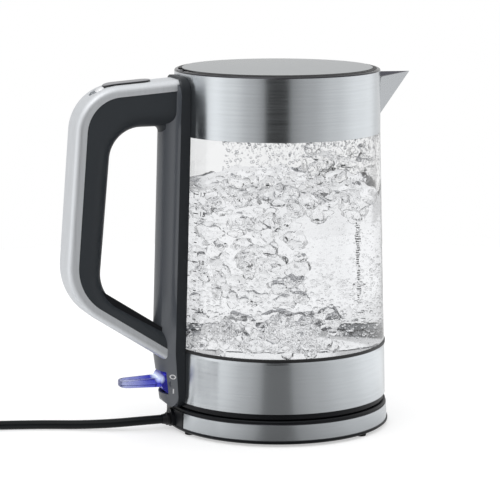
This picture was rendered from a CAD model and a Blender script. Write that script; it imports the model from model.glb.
import math
import random

import bmesh
import bpy
from mathutils import Matrix, Vector, noise
from mathutils.bvhtree import BVHTree


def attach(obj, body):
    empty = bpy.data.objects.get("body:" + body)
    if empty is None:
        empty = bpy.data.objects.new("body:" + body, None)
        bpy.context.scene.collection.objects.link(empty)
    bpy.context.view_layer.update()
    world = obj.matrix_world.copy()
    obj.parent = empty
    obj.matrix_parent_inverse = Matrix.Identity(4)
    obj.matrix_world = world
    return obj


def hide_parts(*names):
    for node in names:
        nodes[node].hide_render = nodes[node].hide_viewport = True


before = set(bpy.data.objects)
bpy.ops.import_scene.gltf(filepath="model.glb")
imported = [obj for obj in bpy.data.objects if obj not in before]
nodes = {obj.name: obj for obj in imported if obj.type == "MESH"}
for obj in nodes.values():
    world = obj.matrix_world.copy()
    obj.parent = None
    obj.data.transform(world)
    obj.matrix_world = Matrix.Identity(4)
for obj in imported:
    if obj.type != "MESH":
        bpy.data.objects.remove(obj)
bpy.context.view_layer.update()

# ---------------------------------------------------------------- studio
# A pale table in a white room. The room is darker behind the camera and grows brighter round to
# the sides and the back, as a soft tent with a dark gap for the lens does, so that round steel
# shows one dark stripe between two soft bright ones.
lens_azimuth, lens_elevation = math.radians(-19.3), math.radians(9.55)


class Value:
    """A socket of a node tree that Python's operators work on."""

    def __init__(self, tree, socket):
        self.tree = tree
        self.socket = socket

    def maths(self, operation, *others):
        return self.tree.maths(operation, self, *others)

    def __add__(self, other):
        return self.maths("ADD", other)

    def __radd__(self, other):
        return self.maths("ADD", other)

    def __sub__(self, other):
        return self.maths("SUBTRACT", other)

    def __rsub__(self, other):
        return self.tree.maths("SUBTRACT", other, self)

    def __mul__(self, other):
        return self.maths("MULTIPLY", other)

    def __rmul__(self, other):
        return self.maths("MULTIPLY", other)

    def __truediv__(self, other):
        return self.maths("DIVIDE", other)

    def clipped(self):
        """The value kept between 0 and 1."""
        return self.maths("MAXIMUM", 0.0).maths("MINIMUM", 1.0)

    def past(self, start, slope):
        """0 up to a start, then rising by a slope to 1."""
        return ((self - start) * slope).clipped()


class Node:
    """A node with its outputs by name or number."""

    def __init__(self, tree, made):
        self.tree = tree
        self.made = made

    def out(self, name=0):
        return Value(self.tree, self.made.outputs[name])


class Tree:
    """The nodes of one material or of the world, its owner."""

    def __init__(self, owner):
        owner.use_nodes = True
        self.owner = owner
        self.tree = owner.node_tree
        self.tree.nodes.clear()

    def node(self, kind, settings=None, sockets=None):
        """Adds a node: its settings first, then the values or links of its sockets."""
        made = self.tree.nodes.new(kind)
        for name, value in (settings or {}).items():
            if name == "stops":
                ramp = made.color_ramp
                while len(ramp.elements) < len(value):
                    ramp.elements.new(0.5)
                for element, (spot, level) in zip(ramp.elements, value):
                    element.position = spot
                    element.color = (level, level, level, 1)
            elif name == "interpolation":
                made.color_ramp.interpolation = value
            else:
                setattr(made, name, value)
        for name, value in (sockets or {}).items():
            if isinstance(value, Value):
                self.tree.links.new(value.socket, made.inputs[name])
            else:
                made.inputs[name].default_value = value
        return Node(self, made)

    def maths(self, operation, *terms):
        """A Math node on values and numbers."""
        return self.node("ShaderNodeMath", {"operation": operation}, dict(enumerate(terms))).out()


def mixed(tree, mask, low, high):
    """A colour between two, by a mask. Each is a value or three numbers."""
    low, high = (end if isinstance(end, Value) else (*end, 1) for end in (low, high))
    return tree.node("ShaderNodeMix", {"data_type": "RGBA"}, {0: mask, 6: low, 7: high}).out(2)


def coordinates(tree, kind="Object"):
    """Object coordinates, or another kind."""
    return tree.node("ShaderNodeTexCoord").out(kind)


def split(tree, vector):
    """The X, Y and Z of a vector."""
    parts = tree.node("ShaderNodeSeparateXYZ", sockets={0: vector})
    return parts.out("X"), parts.out("Y"), parts.out("Z")


def off_lens(x, y):
    """A spot or direction as its reach away from the lens, and its reach to the lens's right."""
    return (y * math.cos(lens_azimuth) - x * math.sin(lens_azimuth),
            x * math.cos(lens_azimuth) + y * math.sin(lens_azimuth))


def tent(tree, x, y, gap):
    """Brightness round the room: from straight behind the object, past the lens, and back."""
    behind, beside = off_lens(x, y)
    angle = beside.maths("ARCTAN2", behind * -1.0) / (2 * math.pi) + 0.5
    return tree.node("ShaderNodeValToRGB", {"interpolation": "EASE", "stops": [
        (0.0, 0.7), (0.16, 0.8), (0.235, 0.95), (0.295, 1.3), (0.35, 1.0), (0.42, 0.6),
        (0.458, 0.4), (0.466, gap), (0.532, gap), (0.541, 0.38), (0.6, 0.56),
        (0.68, 0.82), (0.78, 1.15), (0.84, 1.2), (0.9, 0.85), (1.0, 0.7)]}, {0: angle}).out()


# the dark gap for the lens, and where the walls turn into a white ceiling
room_gap, ceiling_start, ceiling_slope = 0.025, 0.35, 2.5
# clear glass and water are seen against a bright panel behind, with dark flags at its sides
panel_level, panel_slope, panel_edge = 0.93, math.tan(math.radians(30)), 14.0
flag_near, flag_gain, flag_start, flag_slope = 0.42, 0.2, -0.2, 1.3
room = Tree(bpy.data.worlds.new("room"))
bpy.context.scene.world = room.owner
x, y, z = split(room, coordinates(room, "Generated"))
path = room.node("ShaderNodeLightPath")
walls = mixed(room, z.past(ceiling_start, ceiling_slope), tent(room, x, y, room_gap), (1, 1, 1))
behind, beside = off_lens(x, y)
on_panel = ((behind * panel_slope - beside.maths("ABSOLUTE")) * panel_edge + 0.5).clipped()
flags = flag_near + flag_gain * behind.past(flag_start, flag_slope)
panel = flags + (panel_level - flags) * on_panel
walls = mixed(room, path.out("Is Transmission Ray"), walls, panel)
walls = mixed(room, path.out("Is Camera Ray"), walls, (1, 1, 1))
room.node("ShaderNodeOutputWorld", sockets={
    0: room.node("ShaderNodeBackground", sockets={0: walls, 1: 1.0}).out()})


def placed(name, data):
    """A new object in the scene, made of some data."""
    made = bpy.data.objects.new(name, data)
    bpy.context.scene.collection.objects.link(made)
    return made


table_radius = 0.75
table_paint, table_to_lens = (0.62, 0.62, 0.62), (0.5, 0.5, 0.5)
# in steel, the table mirrors the tent, darker round the foot of the kettle
table_in_steel, table_gap = (0.05, 0.05, 0.05), 0.2
foot_shade, foot_reach, foot_slope = 0.64, 0.1, 8.0
# through the glass, it grows brighter away from the lens in two steps
glass_table, first_gain, first_start, first_slope = 0.66, 0.12, -0.1, 4.0
last_gain, last_start, last_slope = 0.15, 0.33, 14.0
table = bmesh.new()
bmesh.ops.create_circle(table, cap_ends=True, segments=96, radius=table_radius)
table_mesh = bpy.data.meshes.new("table_top")
table.to_mesh(table_mesh)
table.free()
table_top = placed("table_top", table_mesh)
table_white = Tree(bpy.data.materials.new("table_white"))
path = table_white.node("ShaderNodeLightPath")
x, y = split(table_white, coordinates(table_white))[:2]
off_middle = (x * x + y * y).maths("SQRT")
near_foot = foot_shade + (1 - foot_shade) * off_middle.past(foot_reach, foot_slope)
seen_in_steel = tent(table_white, x, y, table_gap) * near_foot
behind = off_lens(x, y)[0]
through_glass = (behind.past(last_start, last_slope) * last_gain
                 + behind.past(first_start, first_slope) * first_gain + glass_table)
glow = mixed(table_white, path.out("Is Glossy Ray"), (0, 0, 0), seen_in_steel)
glow = mixed(table_white, path.out("Is Transmission Ray"), glow, through_glass)
glow = mixed(table_white, path.out("Is Camera Ray"), glow, table_to_lens)
paint = mixed(table_white, path.out("Is Glossy Ray"), table_paint, table_in_steel)
both = table_white.node("ShaderNodeAddShader", sockets={
    0: table_white.node("ShaderNodeBsdfDiffuse", sockets={"Color": paint}).out(),
    1: table_white.node("ShaderNodeEmission", sockets={"Color": glow, "Strength": 1.0}).out()})
table_white.node("ShaderNodeOutputMaterial", sockets={0: both.out()})
table_mesh.materials.append(table_white.owner)

lamp_aim = Vector((0, 0, 0.1))
lamp_data = bpy.data.lights.new("soft_box", "AREA")
lamp_data.shape = "RECTANGLE"
lamp_data.size, lamp_data.size_y = 1.2, 0.9
lamp_data.energy = 5.0
soft_box = placed("soft_box", lamp_data)
soft_box.location = (-0.9, -0.7, 1.6)
soft_box.rotation_euler = (lamp_aim - soft_box.location).to_track_quat("-Z", "Y").to_euler()

to_lens = Vector((math.sin(lens_azimuth) * math.cos(lens_elevation),
                  -math.cos(lens_azimuth) * math.cos(lens_elevation), math.sin(lens_elevation)))
lens_aim, lens_distance = Vector((-0.0177, 0.0056, 0.1235)), 1.54
camera_data = bpy.data.cameras.new("camera")
camera_data.lens, camera_data.sensor_width = 161.1, 36.0
camera = placed("camera", camera_data)
camera.location = lens_aim + to_lens * lens_distance
camera.rotation_euler = (-to_lens).to_track_quat("-Z", "Y").to_euler()
bpy.context.scene.camera = camera
bpy.context.scene.view_settings.view_transform = "Standard"
# light crosses two glass walls, the water and many bubbles before it is lost
bpy.context.scene.cycles.max_bounces = 32
bpy.context.scene.cycles.transmission_bounces = 32

# ---------------------------------------------------------------- power base
# Moulded black polypropylene with a fine spark-eroded grain: the base's shell, its bottom and
# the coupler, and the jug's underside, the frame of the handle and the lid's body. The bottom is
# screwed on from below, and stands on four rubber feet.
mm = 0.001


def finish_of(name, *node_names):
    """A new material's tree. The material is laid on the named CAD nodes."""
    material = bpy.data.materials.new(name)
    for node_name in node_names:
        slots = nodes[node_name].data.materials
        slots.clear()
        slots.append(material)
    return Tree(material)


def surface(tree, **sockets):
    """Ends a tree in a Principled shader; underscores in names stand for spaces."""
    shader = tree.node("ShaderNodeBsdfPrincipled", sockets={
        name.replace("_", " "): value for name, value in sockets.items()})
    tree.node("ShaderNodeOutputMaterial", sockets={0: shader.out()})


def stretched(tree, scale):
    """Object coordinates, stretched."""
    return tree.node("ShaderNodeMapping", sockets={
        "Vector": coordinates(tree), "Scale": scale}).out()


def cloudy(tree, scale, detail=2.0, stretch=(1, 1, 1)):
    """Soft noise about 0.5."""
    return tree.node("ShaderNodeTexNoise", sockets={
        "Vector": stretched(tree, stretch), "Scale": scale, "Detail": detail}).out()


def bumped(tree, height, depth):
    """A normal from a height between 0 and 1 and its depth in metres."""
    return tree.node("ShaderNodeBump", sockets={"Height": height, "Distance": depth}).out()


def uneven(level, mask, swing):
    """A level that swings round itself with a mask."""
    return level + (mask - 0.5) * swing


def moulded(name, *node_names, low, high, roughness, gloss=0.3):
    """Moulded plastic or rubber: two close shades, an uneven gloss and a fine grain."""
    tree = finish_of(name, *node_names)
    patches = cloudy(tree, scale=18.0)
    surface(tree, Base_Color=mixed(tree, patches, low, high),
            Roughness=uneven(roughness, patches, 0.16), Specular_IOR_Level=gloss,
            Normal=bumped(tree, cloudy(tree, scale=2600.0), 0.03 * mm))


moulded("black_plastic", "base_shell", "base_bottom", "base_coupler", "jug_underside",
        "jug_coupler", "lid_body", "lid_hinge_arm", "collar_liner", "handle_core",
        low=(0.004, 0.005, 0.0065), high=(0.007, 0.008, 0.0105), roughness=0.4, gloss=0.22)
moulded("frame_black", "handle_frame",
        low=(0.018, 0.021, 0.025), high=(0.022, 0.026, 0.031), roughness=0.42)
moulded("foot_rubber", "base_feet",
        low=(0.01, 0.01, 0.01), high=(0.02, 0.02, 0.02), roughness=0.7)

# ---------------------------------------------------------------- steel bands
# Stainless sheet rolled into rings and brushed round and round, so the fine lines follow the
# circle: the base's band, the jug's lower band and its collar. The turned edges of the base's
# band and of the collar lie in a black gap, and look dark from above.
dark_edge = (0.05, 0.05, 0.055)


def upward(tree):
    """How far a face looks up: 1 on a flat top, 0 on an upright wall."""
    return split(tree, tree.node("ShaderNodeNewGeometry").out("Normal"))[2]


def brush_strokes(tree, stretch, lines=900.0):
    """Fine lines that run along the axes that stretch leaves short."""
    return cloudy(tree, scale=lines, detail=3.0, stretch=stretch)


def shades(tree, mask, shade, low, high):
    """A colour between a darker and a lighter share of a shade."""
    return mixed(tree, mask, [low * c for c in shade], [high * c for c in shade])


def brushed(name, *node_names, shade, roughness, stretch, lines=900.0, depth=0.006 * mm,
            across=0.0, top_edge=None):
    """Brushed stainless steel. Across stretches its highlights over the lines."""
    tree = finish_of(name, *node_names)
    strokes = brush_strokes(tree, stretch, lines)
    worn = cloudy(tree, scale=24.0)
    colour = shades(tree, strokes, shade, low=0.9, high=1.06)
    if top_edge:
        colour = mixed(tree, upward(tree).past(0.12, 5.0), colour, top_edge)
    surface(tree, Base_Color=colour, Metallic=1.0,
            Roughness=uneven(uneven(roughness, strokes, 0.12), worn, 0.06),
            Anisotropic=across, Anisotropic_Rotation=0.25, Normal=bumped(tree, strokes, depth))


for name, node_name, top_edge in (("band_steel", "lower_band", None),
                                  ("collar_steel", "top_collar", dark_edge),
                                  ("base_band_steel", "base_band", dark_edge)):
    brushed(name, node_name, shade=(0.6, 0.63, 0.655), roughness=0.24, stretch=(0.03, 0.03, 1),
            across=0.75, top_edge=top_edge)

# ---------------------------------------------------------------- inner metal parts
# The water stands on a plate of blasted steel. Screws, pins and springs are zinc plated, the
# contacts and bimetal discs are of copper alloys, and the element under the plate is aluminium.
blasted_steel = finish_of("blasted_steel", "heater_plate")
grit = cloudy(blasted_steel, scale=700.0)
surface(blasted_steel, Base_Color=mixed(blasted_steel, grit, (0.8, 0.8, 0.81), (0.88, 0.88, 0.89)),
        Metallic=0.3, Roughness=uneven(0.6, grit, 0.1),
        Normal=bumped(blasted_steel, grit, 0.02 * mm))


def plain_metal(name, *node_names, shade, roughness):
    """Bare or plated metal with a faint uneven polish."""
    tree = finish_of(name, *node_names)
    patches = cloudy(tree, scale=320.0)
    surface(tree, Base_Color=shades(tree, patches, shade, low=0.88, high=1.0), Metallic=1.0,
            Roughness=uneven(roughness, patches, 0.2))


plain_metal("zinc_plate", "base_screws", "underside_screws", "element_pins", "control_nuts",
            "hinge_bracket", "hinge_pin", "lid_spring", "latch_spring", "switch_pin",
            "plug_pins", "filter_mesh", "handle_screws", shade=(0.6, 0.6, 0.62), roughness=0.3)
plain_metal("contact_bronze", "base_contacts", "coupler_rings", "bimetal_discs", "steam_disc",
            shade=(0.72, 0.52, 0.26), roughness=0.28)
plain_metal("pressed_aluminium", "element_plate", "heating_element",
            shade=(0.66, 0.66, 0.67), roughness=0.42)
brushed("plate_steel", "lid_liner", shade=(0.58, 0.58, 0.58), roughness=0.3, stretch=(1, 0.05, 1))

# ---------------------------------------------------------------- power lead
# A black sheathed round lead of 6.2 mm, 0.75 m long. It leaves the base through a ribbed
# grommet behind the handle, drops to the table, and the rest is wound in a neat coil.
moulded("plug_black", "cord_relief", "plug_body",
        low=(0.004, 0.004, 0.005), high=(0.007, 0.007, 0.008), roughness=0.42)

lead_diameter = 6.2 * mm
# the run from the base to the coil, and from the coil to the plug, in millimetres
run_out = [(-72.6, 0, 7.2), (-94.6, 0, 7.2), (-116.0, 7.5, 5.0), (-137.0, 18.0, 3.3),
           (-159.0, 27.5, 3.1), (-186.0, 35.0, 3.1), (-214.0, 41.5, 3.1), (-238.0, 44.0, 3.1)]
plug_end_x, plug_end_z = -281.0, 9.3
run_to_plug = [(plug_end_x, y, plug_end_z) for y in (8.0, -8.0, -22.0, -36.0)]
# the coil: turn by turn, the angle in degrees, the turn's radius and its height
coil_x, coil_y = -247.0, 10.0
coil_start, coil_end, coil_step = 100, 890, 20
coil_lay = [(90, 36.0, 3.1), (120, 37.1, 3.1), (390, 37.1, 3.1), (432, 29.3, 3.1),
            (480, 30.9, 3.1), (700, 30.9, 3.1), (785, 32.5, 8.7), (890, 34.0, 9.3)]
coil = []
for angle in range(coil_start, coil_end, coil_step):
    for (start, near, low), (end, far, high) in zip(coil_lay, coil_lay[1:]):
        if start <= angle < end:
            share = (angle - start) / (end - start)
            radius, height = near + share * (far - near), low + share * (high - low)
    coil.append((coil_x + radius * math.cos(math.radians(angle)),
                 coil_y + radius * math.sin(math.radians(angle)), height))
lead_points = run_out + coil + run_to_plug

lead_curve = bpy.data.curves.new("mains_lead", "CURVE")
lead_curve.dimensions = "3D"
lead_curve.bevel_depth = lead_diameter / 2
lead_curve.bevel_resolution = 6
lead_curve.resolution_u = 8
lead_curve.use_fill_caps = True
run = lead_curve.splines.new("NURBS")
run.points.add(len(lead_points) - 1)
for point, spot in zip(run.points, lead_points):
    point.co = (*(Vector(spot) * mm), 1)
run.order_u = 3
run.use_endpoint_u = True
lead_sheath = finish_of("lead_sheath")
patches = cloudy(lead_sheath, scale=60.0)
surface(lead_sheath, Roughness=uneven(0.36, patches, 0.16), Specular_IOR_Level=0.16,
        Base_Color=mixed(lead_sheath, patches, (0.004, 0.005, 0.006), (0.007, 0.0085, 0.01)),
        Normal=bumped(lead_sheath, cloudy(lead_sheath, scale=1400.0), 0.02 * mm))
lead_curve.materials.append(lead_sheath.owner)
mains_lead = placed("mains_lead", lead_curve)
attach(mains_lead, "power_base")
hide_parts("power_cord", "cord_coil")

# ---------------------------------------------------------------- tie of the lead
# A strap of woven black nylon hook-and-loop tape, closed round the two turns of the coil that
# lie side by side.
tie_width, tie_span, tie_height, tie_thickness = 12 * mm, 14.4 * mm, 7.2 * mm, 0.9 * mm
tie_corner, tie_off_centre = 3.0 * mm, 34.0


def piece(name, form, finish, body, smooth=True):
    """A finished piece from a bmesh, riding on a CAD body."""
    for face in form.faces:
        face.smooth = smooth
    mesh = bpy.data.meshes.new(name)
    form.to_mesh(mesh)
    form.free()
    mesh.materials.append(finish.owner)
    made = placed(name, mesh)
    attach(made, body)
    return made


tie = bmesh.new()
bmesh.ops.create_cube(tie, size=1.0, matrix=Matrix.Diagonal((tie_width, tie_span, tie_height, 1)))
lengthwise = [edge for edge in tie.edges
              if abs(edge.verts[0].co.x - edge.verts[1].co.x) > tie_width / 2]
bmesh.ops.bevel(tie, geom=lengthwise, offset=tie_corner, segments=5, profile=0.5,
                affect="EDGES", material=-1)
open_ends = [face for face in tie.faces if abs(face.normal.x) > 0.9]
bmesh.ops.delete(tie, geom=open_ends, context="FACES")
bmesh.ops.recalc_face_normals(tie, faces=tie.faces)
bmesh.ops.solidify(tie, geom=tie.faces, thickness=tie_thickness)
bmesh.ops.translate(tie, verts=tie.verts,
                    vec=(coil_x * mm, (coil_y - tie_off_centre) * mm, tie_height / 2))
woven_nylon = finish_of("woven_nylon")
weave = cloudy(woven_nylon, scale=900.0, detail=1.0, stretch=(1, 0.4, 1))
surface(woven_nylon, Roughness=0.8, Normal=bumped(woven_nylon, weave, 0.2 * mm),
        Base_Color=mixed(woven_nylon, weave, (0.008, 0.008, 0.009), (0.03, 0.03, 0.032)))
cord_tie = piece("cord_tie", tie, woven_nylon, "power_base", smooth=False)

# ---------------------------------------------------------------- glass of the jug
# Borosilicate glass, blown to a slight taper and 3.6 mm thick, held between the lower band and
# the collar in silicone seals.
glass_foot, glass_head = 58.5 * mm, 202.5 * mm
glass_foot_radius, glass_taper, glass_wall = 74.2 * mm, 3.9 * mm, 3.6 * mm


def see_through(name, *node_names, tint, ior, ripple, waviness):
    """Clear glass or water, which lets lamp light through."""
    tree = finish_of(name, *node_names)
    clear = tree.node("ShaderNodeBsdfPrincipled", sockets={
        "Base Color": (*tint, 1), "Roughness": 0.0, "IOR": ior, "Transmission Weight": 1.0,
        "Normal": bumped(tree, cloudy(tree, scale=ripple), waviness)})
    lets_light = tree.node("ShaderNodeBsdfTransparent", sockets={"Color": (*tint, 1)})
    in_shadow = tree.node("ShaderNodeLightPath").out("Is Shadow Ray")
    both = tree.node("ShaderNodeMixShader", sockets={
        0: in_shadow, 1: clear.out(), 2: lets_light.out()})
    tree.node("ShaderNodeOutputMaterial", sockets={0: both.out()})
    return tree


see_through("jug_glass", "glass_body", tint=(0.995, 0.998, 1.0), ior=1.45, ripple=25.0,
            waviness=0.02 * mm)

# ---------------------------------------------------------------- level marks
# Dark ceramic ink, screen printed and fired on the outside of the glass: a scale in litres at
# each side of the handle, and a column of fine dashes on the far side.
litre_height, empty_z = 65.0 * mm, 55.0 * mm
ink_lift, ink_thickness = 0.12 * mm, 0.06 * mm
scale_tenths, scale_angle = range(4, 18), 21.0
tenth_dash, long_dash, dash_height = 3.0 * mm, 5.5 * mm, 0.6 * mm
numbered_litres = (0.5, 1.0, 1.5, 1.7)
digit_size, digit_weight, digit_gap = 4.2 * mm, 0.08 * mm, 4.0 * mm
far_fortieths, far_angle, far_width, far_height = range(12, 70), 39.5, 1.6 * mm, 1.0 * mm


def glass_radius(z):
    """Outer radius of the glass at a height."""
    return glass_foot_radius - glass_taper * (z - glass_foot) / (glass_head - glass_foot)


def add_to(whole, form):
    """Adds a bmesh to a larger one."""
    mesh = bpy.data.meshes.new("added")
    form.to_mesh(mesh)
    form.free()
    whole.from_mesh(mesh)
    bpy.data.meshes.remove(mesh)


def print_on_glass(marks, form, turn, litres):
    """Wraps a flat form round the glass, at an angle in degrees and the height of a volume."""
    for vertex in form.verts:
        z = empty_z + litres * litre_height + vertex.co.y
        radius = glass_radius(z) + ink_lift + vertex.co.z
        angle = math.radians(turn) + vertex.co.x / radius
        vertex.co = (radius * math.cos(angle), radius * math.sin(angle), z)
    add_to(marks, form)


def print_dash(marks, width, height, turn, litres):
    """Prints one dash."""
    line = bmesh.new()
    bmesh.ops.create_grid(line, x_segments=6, y_segments=1, size=0.5,
                          matrix=Matrix.Diagonal((width, height, 1, 1)))
    bmesh.ops.solidify(line, geom=line.faces, thickness=-ink_thickness)
    print_on_glass(marks, line, turn, litres)


def print_number(marks, side, turn, litres):
    """Prints a volume beside its dash."""
    digits = bpy.data.curves.new("digits", "FONT")
    digits.body = f"{litres:.1f}"
    digits.size = digit_size
    digits.extrude = ink_thickness / 2
    digits.offset = digit_weight
    digits.align_x, digits.align_y = ("LEFT" if side > 0 else "RIGHT"), "CENTER"
    text = bpy.data.objects.new("digits", digits)
    number = bmesh.new()
    number.from_mesh(bpy.data.meshes.new_from_object(text))
    bpy.data.objects.remove(text)
    bmesh.ops.translate(number, verts=number.verts, vec=(side * digit_gap, 0, 0))
    print_on_glass(marks, number, turn, litres)


marks = bmesh.new()
for fortieth in far_fortieths:
    print_dash(marks, far_width, far_height, far_angle, fortieth / 40)
for side in (-1, 1):
    turn = 180 + side * scale_angle
    for tenth in scale_tenths:
        litres = tenth / 10
        numbered = litres in numbered_litres
        print_dash(marks, long_dash if numbered else tenth_dash, dash_height, turn, litres)
        if numbered:
            print_number(marks, side, turn, litres)
bmesh.ops.recalc_face_normals(marks, faces=marks.faces)
ceramic_ink = finish_of("ceramic_ink")
surface(ceramic_ink, Roughness=0.5, Base_Color=mixed(
    ceramic_ink, cloudy(ceramic_ink, scale=800.0), (0.02, 0.02, 0.022), (0.05, 0.05, 0.052)))
piece("level_marks", marks, ceramic_ink, "jug", smooth=False)

# ---------------------------------------------------------------- seals and inner plastics
# Moulded silicone seals hold the glass, the heater plate and the lid. The foot seal is dark
# outside the glass and pale inside it. The plastics within are white, the leads have red sleeves.
seal_lip_radius, seal_lip_slope = 73.4 * mm, 2.0 / mm

moulded("grey_silicone", "head_gasket", "lid_seal",
        low=(0.05, 0.052, 0.056), high=(0.07, 0.072, 0.076), roughness=0.5)
foot_silicone = finish_of("foot_silicone", "foot_gasket")
off_middle = foot_silicone.node("ShaderNodeVectorMath", {"operation": "LENGTH"}, {
    0: stretched(foot_silicone, (1, 1, 0))}).out("Value")
outside = off_middle.past(seal_lip_radius, seal_lip_slope)
surface(foot_silicone, Roughness=uneven(0.5, cloudy(foot_silicone, scale=60.0), 0.1),
        Base_Color=mixed(foot_silicone, outside, (0.55, 0.56, 0.57), (0.03, 0.032, 0.036)))
moulded("pale_silicone", "plate_gasket",
        low=(0.5, 0.51, 0.52), high=(0.58, 0.59, 0.6), roughness=0.45)
moulded("white_plastic", "control_module", "spout_filter", "lid_latch", "steam_switch",
        "steam_tube", low=(0.6, 0.59, 0.56), high=(0.68, 0.67, 0.64), roughness=0.4)
moulded("lead_sleeve", "switch_leads", "base_leads",
        low=(0.3, 0.02, 0.02), high=(0.4, 0.03, 0.03), roughness=0.5)

# ---------------------------------------------------------------- spout and lid
# The spout is folded from brushed steel sheet and welded to the collar; it is dull and dark in
# its trough. The lid is capped with a flat disc brushed one way, whose rolled edge sits in black.
cap_edge_z, cap_edge_slope = 246.35 * mm, 8.0 / mm
lid_span = 130 * mm

spout_steel = finish_of("spout_steel", "spout")
strokes = brush_strokes(spout_steel, stretch=(1, 1, 0.05))
trough = upward(spout_steel).past(0.0, 12.0)
sheet = mixed(spout_steel, strokes, (0.35, 0.365, 0.38), (0.4, 0.415, 0.43))
surface(spout_steel, Base_Color=mixed(spout_steel, trough, sheet, (0.1, 0.1, 0.115)),
        Metallic=1.0, Roughness=uneven(0.28, strokes, 0.08) + trough * 0.2,
        Normal=bumped(spout_steel, strokes, 0.002 * mm))

lid_steel = finish_of("lid_steel", "lid_cap")
strokes = brush_strokes(lid_steel, stretch=(1, 0.03, 1), lines=500.0)
x, y, z = split(lid_steel, coordinates(lid_steel))
below = ((cap_edge_z - z) * cap_edge_slope).clipped()
far_side = (y / lid_span + 0.5).clipped()
disc = mixed(lid_steel, strokes, (0.46, 0.48, 0.49), (0.54, 0.56, 0.57))
surface(lid_steel, Base_Color=mixed(lid_steel, below, disc, (0.01, 0.01, 0.011)),
        Metallic=1.0 - below, Roughness=uneven(0.36, strokes, 0.12) - far_side * 0.1,
        Normal=bumped(lid_steel, strokes, 0.003 * mm))

# ---------------------------------------------------------------- rubber lips
# Black extruded rubber. One closes the gap round the lid and is open at its hinge, the other
# lies on the glass over the lower band.
lip_chamfer = 0.4
lip_rubber = finish_of("lip_rubber")
surface(lip_rubber, Roughness=0.5, Base_Color=mixed(
    lip_rubber, cloudy(lip_rubber, scale=90.0), (0.006, 0.006, 0.007), (0.012, 0.012, 0.013)))


def rubber_lip(name, inner, outer, foot, top, opening):
    """A ring by its radii and heights in millimetres, open by an angle at the handle."""
    lip = bmesh.new()
    outline = [lip.verts.new((radius * mm, 0, z * mm)) for radius, z in (
        (inner, foot), (outer, foot), (outer, top - lip_chamfer), (outer - lip_chamfer, top),
        (inner, top))]
    for start, end in zip(outline, outline[1:] + outline[:1]):
        lip.edges.new((start, end))
    bmesh.ops.rotate(lip, verts=lip.verts,
                     matrix=Matrix.Rotation(math.radians(180 + opening / 2), 3, "Z"))
    bmesh.ops.spin(lip, geom=lip.verts[:] + lip.edges[:], cent=(0, 0, 0), axis=(0, 0, 1),
                   angle=math.radians(360 - opening), steps=160, use_merge=not opening)
    bmesh.ops.holes_fill(lip, edges=lip.edges, sides=5)
    bmesh.ops.recalc_face_normals(lip, faces=lip.faces)
    piece(name, lip, lip_rubber, "jug", smooth=False)


rubber_lip("lid_lip", inner=65.15, outer=67.6, foot=244.6, top=245.95, opening=28)
rubber_lip("foot_lip", inner=73.9, outer=74.85, foot=57.0, top=59.0, opening=0)

# ---------------------------------------------------------------- handle
# Dark grey moulded grip and column on a black frame, with a satin steel strap laid round the
# outside of the loop. The button has a steel cap on black sides, the scoop beyond it is steel.
brushed("strap_steel", "handle_strap", shade=(0.74, 0.76, 0.785), roughness=0.52,
        stretch=(1, 1, 0.03), lines=700.0, depth=0.01 * mm)
moulded("handle_grey", "handle_grip",
        low=(0.029, 0.034, 0.04), high=(0.036, 0.042, 0.049), roughness=0.42)
moulded("column_grey", "handle_column",
        low=(0.085, 0.094, 0.108), high=(0.098, 0.108, 0.124), roughness=0.3, gloss=0.75)
key_steel = finish_of("key_steel", "lid_button")
strokes = brush_strokes(key_steel, stretch=(0.03, 1, 1))
capped = upward(key_steel).past(0.55, 5.0)
cap = mixed(key_steel, strokes, (0.3, 0.3, 0.32), (0.36, 0.36, 0.38))
surface(key_steel, Base_Color=mixed(key_steel, capped, (0.008, 0.009, 0.011), cap),
        Metallic=capped, Roughness=uneven(0.3, strokes, 0.1),
        Normal=bumped(key_steel, strokes, 0.003 * mm))
brushed("scoop_steel", "thumb_scoop", shade=(0.78, 0.8, 0.82), roughness=0.4,
        stretch=(0.03, 1, 1))

# ---------------------------------------------------------------- thumb ridge
# A polished steel ridge across the upper end of the scoop, which the thumb feels for. It is
# pressed out of the scoop's sheet.
ridge_middle, ridge_tilt = Vector((-124.9, 0, 234.6)) * mm, math.radians(-24)
ridge_reach, ridge_width, ridge_height = 3.7 * mm, 4.6 * mm, 1.7 * mm
ridge = bmesh.new()
bmesh.ops.create_uvsphere(ridge, u_segments=32, v_segments=16, radius=1.0, matrix=(
    Matrix.Translation(ridge_middle) @ Matrix.Rotation(ridge_tilt, 4, "Y")
    @ Matrix.Diagonal((ridge_reach, ridge_width, ridge_height, 1))))
ridge_polish = finish_of("ridge_polish")
surface(ridge_polish, Metallic=1.0, Roughness=0.2, Base_Color=mixed(
    ridge_polish, cloudy(ridge_polish, scale=500.0), (0.86, 0.87, 0.89), (0.92, 0.93, 0.95)))
piece("thumb_ridge", ridge, ridge_polish, "jug")

# ---------------------------------------------------------------- switch
# A lever and drum of clear blue acrylic, lit from inside by two small lamps while the water
# heats. The lever is brightest at its root, right over the lamps.
lamp_spot, root_spot = (-81.0 * mm, 0, 43.0 * mm), (-87.5 * mm, 0, 37.5 * mm)
glow_reach, root_reach = 34 * mm, 3.4 * mm


def glow_from(tree, spot, reach):
    """1 at a spot, falling to 0 at a distance from it, the same across the whole width."""
    spread = tree.node("ShaderNodeVectorMath", {"operation": "DISTANCE"}, {
        0: stretched(tree, (1, 0, 1)), 1: spot}).out("Value")
    return (1.0 - spread / reach).clipped()


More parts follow.
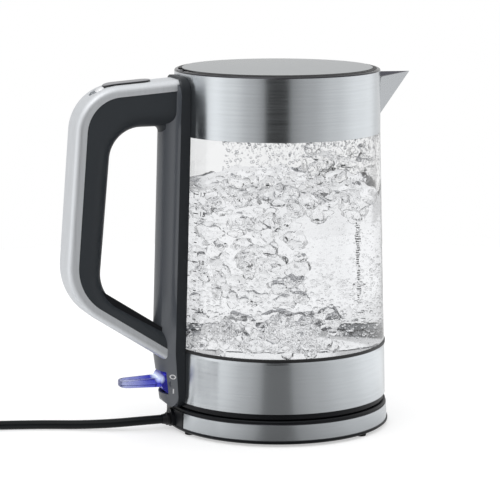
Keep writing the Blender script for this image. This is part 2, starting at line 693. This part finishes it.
switch_blue = finish_of("switch_blue", "switch_lever")
cloud = cloudy(switch_blue, scale=90.0)
wide = glow_from(switch_blue, lamp_spot, glow_reach)
hot = glow_from(switch_blue, root_spot, root_reach)
blue = mixed(switch_blue, uneven(wide * 1.5, cloud, 0.3), (0.6, 0.65, 0.9), (0.04, 0.05, 0.5))
glow = mixed(switch_blue, wide, (0.006, 0.008, 0.03), (0.012, 0.01, 0.17))
glow = mixed(switch_blue, hot, glow, (0.75, 0.85, 1.0))
# the glow doesn't colour the steel beside it
from_steel = switch_blue.node("ShaderNodeLightPath").out("Is Glossy Ray")
surface(switch_blue, Base_Color=blue, Roughness=0.05, IOR=1.49, Transmission_Weight=0.85,
        Emission_Color=mixed(switch_blue, from_steel, glow, (0, 0, 0)), Emission_Strength=1.0)
lamp_lit = finish_of("lamp_lit", "switch_leds")
surface(lamp_lit, Emission_Color=(0.6, 0.7, 1.0, 1), Emission_Strength=1.0, Base_Color=mixed(
    lamp_lit, cloudy(lamp_lit, scale=300.0), (0.5, 0.6, 1.0), (0.7, 0.8, 1.0)))

# ---------------------------------------------------------------- marks of the switch
# O and I, pad printed in white ink on the flank of the handle's column, over and under the
# middle of the switch.
mark_size, mark_stroke, flank_side = 1.65 * mm, 0.6 * mm, -60 * mm
upright = Matrix.Rotation(math.radians(90), 4, "X")
off_place = Matrix.Translation((-80.4 * mm, 0, 39.7 * mm))
on_place = Matrix.Translation((-79.9 * mm, 0, 29.7 * mm))
column = nodes["handle_column"].data
flank = BVHTree.FromPolygons([vertex.co for vertex in column.vertices],
                             [face.vertices for face in column.polygons])
switch_marks = bmesh.new()
for radius in (mark_size, mark_size - mark_stroke):
    bmesh.ops.create_circle(switch_marks, segments=32, radius=radius)
bmesh.ops.bridge_loops(switch_marks, edges=switch_marks.edges)
bmesh.ops.transform(switch_marks, verts=switch_marks.verts, matrix=off_place @ upright)
bmesh.ops.create_grid(switch_marks, x_segments=1, y_segments=6, size=0.5, matrix=(
    on_place @ upright @ Matrix.Diagonal((mark_stroke, 2 * mark_size, 1, 1))))
for vertex in switch_marks.verts:
    found = flank.ray_cast(Vector((vertex.co.x, flank_side, vertex.co.z)), Vector((0, 1, 0)))[0]
    vertex.co.y = found.y - ink_lift
bmesh.ops.recalc_face_normals(switch_marks, faces=switch_marks.faces)
bmesh.ops.solidify(switch_marks, geom=switch_marks.faces, thickness=ink_thickness)
white_ink = finish_of("white_ink")
surface(white_ink, Roughness=0.5, Base_Color=mixed(
    white_ink, cloudy(white_ink, scale=900.0), (0.7, 0.7, 0.7), (0.8, 0.8, 0.8)))
piece("switch_marks", switch_marks, white_ink, "jug", smooth=False)

# ---------------------------------------------------------------- water on the boil
# Water up to the upper mark, boiling hard. It wets the glass and stands on the heater plate, and
# its surface heaves, less beside the handle.
water_level, water_foot, plate_level = 167.0 * mm, 54.8 * mm, 52.05 * mm
plate_edge, foot_step = 63 * mm, 66 * mm
into_glass = 0.3 * mm
wall_cuts, surface_cuts, turns = 26, 64, 160
swell_size, swell_height = 30 * mm, 9 * mm
wave_size, wave_height, wave_shift = 13 * mm, 5 * mm, Vector((3, 1, 2))
ripple_size, ripple_height = 6 * mm, 3 * mm
calm_side, calm_width, calm_share = -62 * mm, 22 * mm, 0.1
rightward = Vector((math.cos(lens_azimuth), math.sin(lens_azimuth), 0))
frontward = Vector((math.sin(lens_azimuth), -math.cos(lens_azimuth), 0))


def inner_radius(z):
    """Radius of the water where it wets the glass."""
    return glass_radius(max(z, glass_foot)) - glass_wall + into_glass


def heave(x, y):
    """How far the boiling surface stands over its level: swell, waves and ripples."""
    spot = Vector((x, y, 0.0))
    swell = swell_height * noise.noise(spot / swell_size)
    waves = wave_height * noise.noise(spot / wave_size + wave_shift)
    return swell + waves + ripple_height * abs(noise.noise(spot / ripple_size))


water = see_through("clear_water", tint=(0.98, 0.985, 1.0), ior=1.22, ripple=140.0,
                    waviness=0.1 * mm)
body = bmesh.new()
outline = [(0, plate_level), (plate_edge, plate_level), (foot_step, water_foot),
           (inner_radius(water_foot), water_foot), (inner_radius(water_level), water_level),
           (0, water_level)]
corners = [body.verts.new((radius, 0, z)) for radius, z in outline]
edges = [body.edges.new(pair) for pair in zip(corners, corners[1:])]
wall_edge, surface_edge = edges[3:]
bmesh.ops.subdivide_edges(body, edges=[wall_edge], cuts=wall_cuts)
bmesh.ops.subdivide_edges(body, edges=[surface_edge], cuts=surface_cuts)
bmesh.ops.spin(body, geom=body.verts[:] + body.edges[:], cent=(0, 0, 0), axis=(0, 0, 1),
               angle=2 * math.pi, steps=turns, use_merge=True)
bmesh.ops.remove_doubles(body, verts=body.verts, dist=0.01 * mm)
for vertex in body.verts:
    share = max(0.0, (vertex.co.z - water_foot) / (water_level - water_foot))
    if share:
        off_handle = min(1.0, max(calm_share, (vertex.co.dot(rightward) - calm_side) / calm_width))
        lifted = vertex.co.z + share ** 3 * off_handle * heave(vertex.co.x, vertex.co.y)
        fit = inner_radius(lifted) / inner_radius(vertex.co.z)
        vertex.co = (vertex.co.x * fit, vertex.co.y * fit, lifted)
bmesh.ops.recalc_face_normals(body, faces=body.faces)
piece("boiling_water", body, water, "jug")

# ---------------------------------------------------------------- steam in the water
# Churning steam, as ragged blobs melted into one skin: a tall cloud on the handle's side, one
# under the surface on the spout's side, and a low one over the heater plate.
chance = random.Random(17)
steam_voxel, steam_off_wall, crowded_high = 0.95 * mm, 1.5 * mm, 1.3
squash_across, squash_up = (0.7, 1.2), (0.5, 1.0)
lump_size, lump_depth = 7 * mm, 0.8
grain_size, grain_depth = 3 * mm, 0.5
steam = see_through("steam_in_water", tint=(1.0, 1.0, 1.0), ior=1.13, ripple=260.0,
                    waviness=0.6 * mm)


def melted(name, form):
    """Overlapping blobs as one closed skin."""
    mesh = bpy.data.meshes.new(name)
    form.to_mesh(mesh)
    form.free()
    rough = placed(name, mesh)
    melt = rough.modifiers.new("melt", "REMESH")
    melt.mode, melt.voxel_size = "VOXEL", steam_voxel
    soften = rough.modifiers.new("soften", "SMOOTH")
    soften.factor, soften.iterations = 0.5, 2
    graph = bpy.context.evaluated_depsgraph_get()
    skin = bmesh.new()
    skin.from_mesh(bpy.data.meshes.new_from_object(rough.evaluated_get(graph)))
    bpy.data.objects.remove(rough)
    return skin


def steam_cloud(name, count, right, front, heights, sizes):
    """A cloud of so many blobs, by its reach to the right, to the front and in height."""
    blobs = bmesh.new()
    low, high = heights
    blown = 0
    while blown < count:
        across, out = chance.uniform(*right) * mm, chance.uniform(*front) * mm
        z = (high - (high - low) * chance.random() ** crowded_high) * mm
        size = chance.uniform(*sizes) * mm
        if math.hypot(across, out) + size > inner_radius(z) - steam_off_wall:
            continue
        centre = rightward * across + frontward * out + Vector((0, 0, z))
        squash = Matrix.Diagonal((chance.uniform(*squash_across), chance.uniform(*squash_across),
                                  chance.uniform(*squash_up), 1))
        blob = bmesh.ops.create_icosphere(blobs, subdivisions=3, radius=size,
                                          matrix=Matrix.Translation(centre) @ squash)
        for vertex in blob["verts"]:
            lumps = lump_depth * noise.noise(vertex.co / lump_size)
            grains = grain_depth * noise.noise(vertex.co / grain_size)
            vertex.co = centre + (vertex.co - centre) * (1 + lumps + grains)
        blown += 1
    piece(name, melted(name, blobs), steam, "jug")


steam_cloud("steam_left", 190, right=(-63, 16), front=(0, 66), heights=(92, 172), sizes=(1.5, 6.5))
steam_cloud("steam_right", 46, right=(18, 62), front=(0, 60), heights=(150, 194), sizes=(2.5, 8.0))
steam_cloud("steam_foot", 110, right=(-64, 34), front=(10, 67), heights=(56, 80), sizes=(2.0, 6.5))

# ---------------------------------------------------------------- bubbles and drops
# Small and fine bubbles climb through the water, closer together near the glass. Steam has
# settled in drops inside the glass under the collar, but not beside the handle.
bubble_off_wall, bubble_height = 2.4 * mm, 0.85
beads_at_once = 100
# heights and sizes of the drops are in millimetres, their depth and length are shares of a size
drop_count, drop_head, drop_band, drop_crowding = 2600, 202.5, 30, 1.6
drop_size, drop_growth, drop_depth, drop_lengths = 0.3, 0.75, 0.5, (1.0, 1.3)
dry_side = -38 * mm


def beads(name, places, fineness, material):
    """Many small beads, each a matrix on a ball of 1 m, made a hundred at a time."""
    whole = bmesh.new()
    for start in range(0, len(places), beads_at_once):
        some = bmesh.new()
        for bead in places[start:start + beads_at_once]:
            bmesh.ops.create_icosphere(some, subdivisions=fineness, radius=1.0, matrix=bead)
        add_to(whole, some)
    piece(name, whole, material, "jug")


def bubbles(name, count, heights, crowding, sizes, fineness):
    """A swarm of round bubbles; a lower crowding brings more of them to the glass."""
    places = []
    (low, high), (small, large) = heights, sizes
    for _ in range(count):
        z = (low + (high - low) * chance.random()) * mm
        out = (inner_radius(z) - bubble_off_wall) * chance.random() ** crowding
        turn = chance.uniform(0, 2 * math.pi)
        size = (small + (large - small) * chance.random() ** 2) * mm
        places.append(Matrix.Translation((out * math.cos(turn), out * math.sin(turn), z))
                      @ Matrix.Diagonal((size, size, bubble_height * size, 1)))
    beads(name, places, fineness, steam)


bubbles("small_bubbles", 700, heights=(60, 112), crowding=0.35, sizes=(0.8, 1.7), fineness=2)
bubbles("fine_bubbles", 3200, heights=(57, 166), crowding=0.2, sizes=(0.3, 0.9), fineness=1)

drops = []
for _ in range(drop_count):
    z = (drop_head - drop_band * chance.random() ** drop_crowding) * mm
    turn = chance.uniform(0, 2 * math.pi)
    size = (drop_size + drop_growth * chance.random() ** 3) * mm
    if glass_radius(z) * math.cos(turn - lens_azimuth) < dry_side:
        continue
    drops.append(Matrix.Rotation(turn, 4, "Z")
                 @ Matrix.Translation((glass_radius(z) - glass_wall, 0, z))
                 @ Matrix.Diagonal((drop_depth * size, size,
                                    size * chance.uniform(*drop_lengths), 1)))
beads("steam_drops", drops, fineness=1, material=water)
